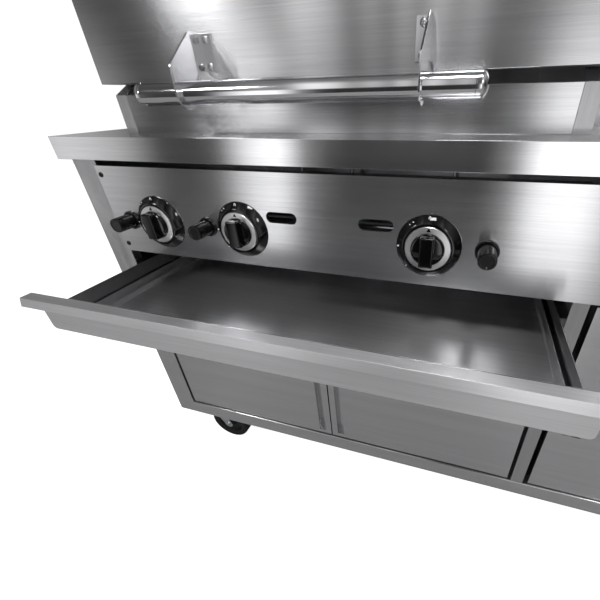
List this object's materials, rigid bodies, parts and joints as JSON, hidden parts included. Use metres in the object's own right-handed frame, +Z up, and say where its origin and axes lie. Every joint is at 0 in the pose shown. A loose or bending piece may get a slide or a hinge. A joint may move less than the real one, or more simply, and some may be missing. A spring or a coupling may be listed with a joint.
{
  "type": "vertical rotisserie broiler",
  "caption": "Floor-standing gas rotisserie broiler: stacked spits and infrared burners in a chamber over a wheeled stainless cabinet with drip drawer, doors and push-turn knobs.",
  "frame": {"origin": "on the floor under the middle of the machine's bounding box, with the drawer in its pulled-out resting pose", "axes": "+X to the operator's right, +Y from the front to the back, +Z up"},
  "size_m": [1.4244, 0.924, 1.85],
  "materials": {
    "stainless_brushed": "horizontally brushed stainless steel sheet",
    "stainless_bright": "bright polished stainless steel",
    "stainless_rod": "turned stainless bar, satin",
    "zinc_plate": "bright zinc-plated pressed steel",
    "burner_steel": "heat-tinted stainless sheet",
    "ceramic_tile": "matt porous cordierite",
    "brass": "satin brass",
    "bronze_bush": "sintered bronze",
    "motor_paint": "dark grey enamel",
    "chain_steel": "oiled roller chain",
    "black_gloss": "moulded glossy black thermoset",
    "black_plastic": "moulded black nylon",
    "window_glass": "clear heat-resistant glass",
    "wheel_rubber": "black rubber tread on a nylon hub"
  },
  "bodies": {
    "cabinet": {"side_panel_left": "stainless_brushed", "side_panel_right": "stainless_brushed", "rear_panel": "stainless_brushed", "cabinet_floor": "stainless_brushed", "bay_divider": "stainless_brushed", "control_panel": "stainless_brushed", "worktop": "stainless_brushed", "drawer_runners": "zinc_plate", "gas_pipework": "zinc_plate", "gas_valves": "brass", "igniter_barrels": "black_plastic", "knob_bezels": "black_gloss", "castor_plates": "zinc_plate", "chamber_wall_left": "stainless_brushed", "chamber_wall_right": "stainless_brushed", "chamber_back": "stainless_brushed", "chamber_roof": "stainless_brushed", "fat_pan": "stainless_brushed", "burner_frames": "burner_steel", "burner_tiles": "ceramic_tile", "drive_housing": "stainless_brushed", "gearmotor": "motor_paint", "drive_chain": "chain_steel", "spit_bearings": "bronze_bush", "flue_collar": "stainless_brushed", "door_pivots": "stainless_rod", "hood_hinges": "stainless_rod"},
    "hood": {"broiler_door": "stainless_brushed", "door_glass": "window_glass", "handle_tube": "stainless_bright", "handle_brackets": "stainless_bright", "bracket_screws": "stainless_bright"},
    "drawer": {"drawer_front": "stainless_brushed", "drawer_box": "stainless_brushed", "drip_tray": "stainless_bright"},
    "left_door": {"cabinet_door_left": "stainless_brushed"},
    "right_door": {"cabinet_door_right": "stainless_brushed"},
    "side_door": {"tall_door": "stainless_brushed"},
    "stem_1": {"valve_stem_1": "stainless_rod"},
    "knob_1": {"knob_1": "black_gloss"},
    "stem_2": {"valve_stem_2": "stainless_rod"},
    "knob_2": {"knob_2": "black_gloss"},
    "stem_3": {"valve_stem_3": "stainless_rod"},
    "knob_3": {"knob_3": "black_gloss"},
    "igniter_1": {"igniter_button_1": "black_plastic"},
    "igniter_2": {"igniter_button_2": "black_plastic"},
    "igniter_3": {"igniter_button_3": "black_plastic"},
    "spit_1": {"spit_1": "stainless_rod", "spit_forks_1": "stainless_rod"},
    "spit_2": {"spit_2": "stainless_rod", "spit_forks_2": "stainless_rod"},
    "spit_3": {"spit_3": "stainless_rod", "spit_forks_3": "stainless_rod"},
    "motor_sprocket": {"motor_sprocket": "chain_steel"},
    "castor_left": {"castor_fork_left": "zinc_plate"},
    "castor_right": {"castor_fork_right": "zinc_plate"},
    "wheel_front_left": {"wheel_front_left": "wheel_rubber"},
    "wheel_front_right": {"wheel_front_right": "wheel_rubber"},
    "wheel_rear_left": {"wheel_rear_left": "wheel_rubber"},
    "wheel_rear_right": {"wheel_rear_right": "wheel_rubber"}
  },
  "joints": [
    {"name": "drawer_slide", "type": "slide", "parent": "cabinet", "child": "drawer", "axis": [0, -1, 0], "range_m": [-0.1625, 0.25]},
    {"name": "hood_swing", "type": "hinge", "parent": "cabinet", "child": "hood", "pos_m": [-0.18475, -0.185, 1.79], "axis": [-1, 0, 0], "range_deg": [0, 100]},
    {"name": "left_door_swing", "type": "hinge", "parent": "cabinet", "child": "left_door", "pos_m": [-0.61975, -0.264, 0.38], "axis": [0, 0, -1], "range_deg": [0, 105]},
    {"name": "right_door_swing", "type": "hinge", "parent": "cabinet", "child": "right_door", "pos_m": [0.24225, -0.264, 0.38], "axis": [0, 0, 1], "range_deg": [0, 105]},
    {"name": "side_door_swing", "type": "hinge", "parent": "cabinet", "child": "side_door", "pos_m": [0.63025, -0.264, 0.43], "axis": [0, 0, 1], "range_deg": [0, 105]},
    {"name": "knob_1_push", "type": "slide", "parent": "cabinet", "child": "stem_1", "axis": [0, 1, 0], "range_m": [0, 0.004], "stiffness_N_per_m": 600, "springref_m": -0.002},
    {"name": "knob_1_turn", "type": "hinge", "parent": "stem_1", "child": "knob_1", "pos_m": [-0.51075, -0.283, 0.751], "axis": [0, -1, 0], "range_deg": [0, 150]},
    {"name": "knob_2_push", "type": "slide", "parent": "cabinet", "child": "stem_2", "axis": [0, 1, 0], "range_m": [0, 0.004], "stiffness_N_per_m": 600, "springref_m": -0.002},
    {"name": "knob_2_turn", "type": "hinge", "parent": "stem_2", "child": "knob_2", "pos_m": [-0.32175, -0.283, 0.751], "axis": [0, -1, 0], "range_deg": [0, 150]},
    {"name": "knob_3_push", "type": "slide", "parent": "cabinet", "child": "stem_3", "axis": [0, 1, 0], "range_m": [0, 0.004], "stiffness_N_per_m": 600, "springref_m": -0.002},
    {"name": "knob_3_turn", "type": "hinge", "parent": "stem_3", "child": "knob_3", "pos_m": [0.02475, -0.283, 0.751], "axis": [0, -1, 0], "range_deg": [0, 150]},
    {"name": "igniter_1_push", "type": "slide", "parent": "cabinet", "child": "igniter_1", "axis": [0, 1, 0], "range_m": [0, 0.006], "stiffness_N_per_m": 500, "springref_m": -0.002},
    {"name": "igniter_2_push", "type": "slide", "parent": "cabinet", "child": "igniter_2", "axis": [0, 1, 0], "range_m": [0, 0.006], "stiffness_N_per_m": 500, "springref_m": -0.002},
    {"name": "igniter_3_push", "type": "slide", "parent": "cabinet", "child": "igniter_3", "axis": [0, 1, 0], "range_m": [0, 0.006], "stiffness_N_per_m": 500, "springref_m": -0.002},
    {"name": "spit_1_turn", "type": "hinge", "parent": "cabinet", "child": "spit_1", "pos_m": [-0.18475, 0.057, 1.11], "axis": [1, 0, 0], "continuous": true},
    {"name": "spit_2_turn", "type": "hinge", "parent": "cabinet", "child": "spit_2", "pos_m": [-0.18475, 0.057, 1.345], "axis": [1, 0, 0], "continuous": true},
    {"name": "spit_3_turn", "type": "hinge", "parent": "cabinet", "child": "spit_3", "pos_m": [-0.18475, 0.057, 1.58], "axis": [1, 0, 0], "continuous": true},
    {"name": "motor_turn", "type": "hinge", "parent": "cabinet", "child": "motor_sprocket", "pos_m": [0.27425, 0.057, 1], "axis": [1, 0, 0], "continuous": true},
    {"name": "castor_left_swivel", "type": "hinge", "parent": "cabinet", "child": "castor_left", "pos_m": [-0.61175, -0.207, 0.14], "axis": [0, 0, 1], "continuous": true},
    {"name": "castor_right_swivel", "type": "hinge", "parent": "cabinet", "child": "castor_right", "pos_m": [0.62325, -0.207, 0.14], "axis": [0, 0, 1], "continuous": true},
    {"name": "wheel_front_left_roll", "type": "hinge", "parent": "castor_left", "child": "wheel_front_left", "pos_m": [-0.57375, -0.207, 0.0625], "axis": [0, 1, 0], "continuous": true},
    {"name": "wheel_front_right_roll", "type": "hinge", "parent": "castor_right", "child": "wheel_front_right", "pos_m": [0.58525, -0.207, 0.0625], "axis": [0, 1, 0], "continuous": true},
    {"name": "wheel_rear_left_roll", "type": "hinge", "parent": "cabinet", "child": "wheel_rear_left", "pos_m": [-0.61175, 0.323, 0.0625], "axis": [1, 0, 0], "continuous": true},
    {"name": "wheel_rear_right_roll", "type": "hinge", "parent": "cabinet", "child": "wheel_rear_right", "pos_m": [0.62325, 0.323, 0.0625], "axis": [1, 0, 0], "continuous": true}
  ],
  "couplings": [
    {"joint": "spit_2_turn", "follows": "spit_1_turn", "ratio": 1},
    {"joint": "spit_3_turn", "follows": "spit_1_turn", "ratio": 1},
    {"joint": "motor_turn", "follows": "spit_1_turn", "ratio": 1}
  ]
}
